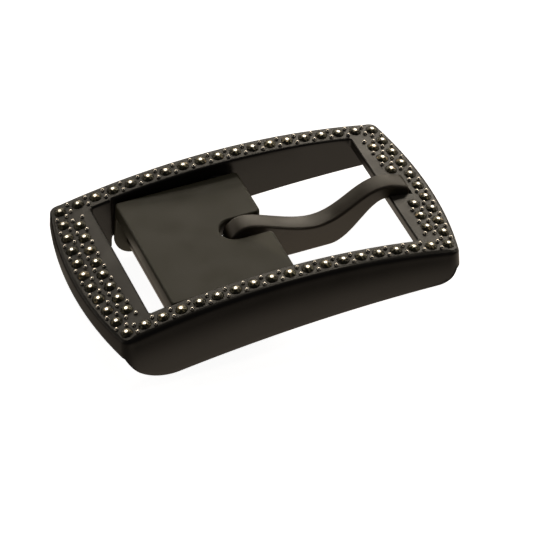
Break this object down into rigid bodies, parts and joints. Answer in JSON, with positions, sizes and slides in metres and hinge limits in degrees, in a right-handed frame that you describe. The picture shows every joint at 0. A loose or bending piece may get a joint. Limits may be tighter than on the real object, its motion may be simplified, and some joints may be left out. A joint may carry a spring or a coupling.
{
  "type": "belt buckle",
  "caption": "Centre-bar dress belt buckle: arched stone-set frame, hinged strap housing with a toothed clamp jaw, and a pivoting tongue.",
  "frame": {"origin": "middle of the outline seen from above, on the plane that the lowest points stand on", "axes": "+X along the belt towards the tongue's tip, +Y across the belt, +Z out of the decorated face"},
  "size_m": [0.0769, 0.0456, 0.0166],
  "materials": {
    "black_casting": "satin black plated zinc casting",
    "housing_casting": "matt dark olive grey plated zinc casting",
    "tongue_casting": "satin black plated casting",
    "pin_steel": "ground steel",
    "jaw_steel": "dark plated pressed steel",
    "rhinestone": "smoky faceted glass, foil backed",
    "nylon": "black nylon"
  },
  "bodies": {
    "frame": {"frame": "black_casting", "pivot_pin": "pin_steel", "thrust_washers": "nylon", "corner_stones": "rhinestone", "front_rail_stones": "rhinestone", "rear_rail_stones": "rhinestone", "left_outer_stones": "rhinestone", "left_inner_stones": "rhinestone", "right_outer_stones": "rhinestone", "right_inner_stones": "rhinestone"},
    "housing": {"strap_housing": "housing_casting", "jaw_pin": "pin_steel"},
    "tongue": {"tongue": "tongue_casting"},
    "jaw": {"clamp_jaw": "jaw_steel"}
  },
  "joints": [
    {"name": "tongue_pivot", "type": "hinge", "parent": "frame", "child": "tongue", "pos_m": [-0.0019, 0, 0.0107], "axis": [0, -1, 0], "range_deg": [0, 90]},
    {"name": "housing_pivot", "type": "hinge", "parent": "frame", "child": "housing", "pos_m": [-0.0019, 0, 0.0107], "axis": [0, -1, 0], "range_deg": [-15, 40]},
    {"name": "jaw_hinge", "type": "hinge", "parent": "housing", "child": "jaw", "pos_m": [-0.0195, 0, 0.0034], "axis": [0, 1, 0], "range_deg": [0, 100]}
  ]
}
